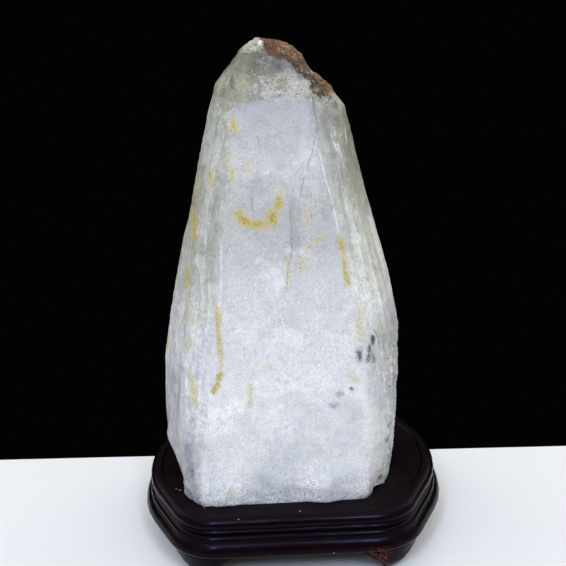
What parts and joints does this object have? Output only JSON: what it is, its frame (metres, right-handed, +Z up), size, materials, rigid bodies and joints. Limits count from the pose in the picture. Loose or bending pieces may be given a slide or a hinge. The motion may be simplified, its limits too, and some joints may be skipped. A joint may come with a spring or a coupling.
{
  "type": "quartz crystal",
  "caption": "Large milky quartz point with an iron-stained crust beside its tip, standing upright in the hollow of a low moulded dark hardwood stand on bracket feet.",
  "frame": {"origin": "centre of the stand on the surface that its four feet stand on", "axes": "+Z up along the crystal, +X to the right along the stand's width, -Y towards the front"},
  "size_m": [0.16, 0.128, 0.2622],
  "materials": {
    "milky_quartz": "satin",
    "dark_lacquered_wood": "gloss"
  },
  "bodies": {
    "root": {"quartz_crystal": "milky_quartz", "stand_upper_board": "dark_lacquered_wood", "stand_lower_board": "dark_lacquered_wood", "stand_foot_front_left": "dark_lacquered_wood", "stand_foot_front_right": "dark_lacquered_wood", "stand_foot_back_left": "dark_lacquered_wood", "stand_foot_back_right": "dark_lacquered_wood"}
  },
  "joints": []
}
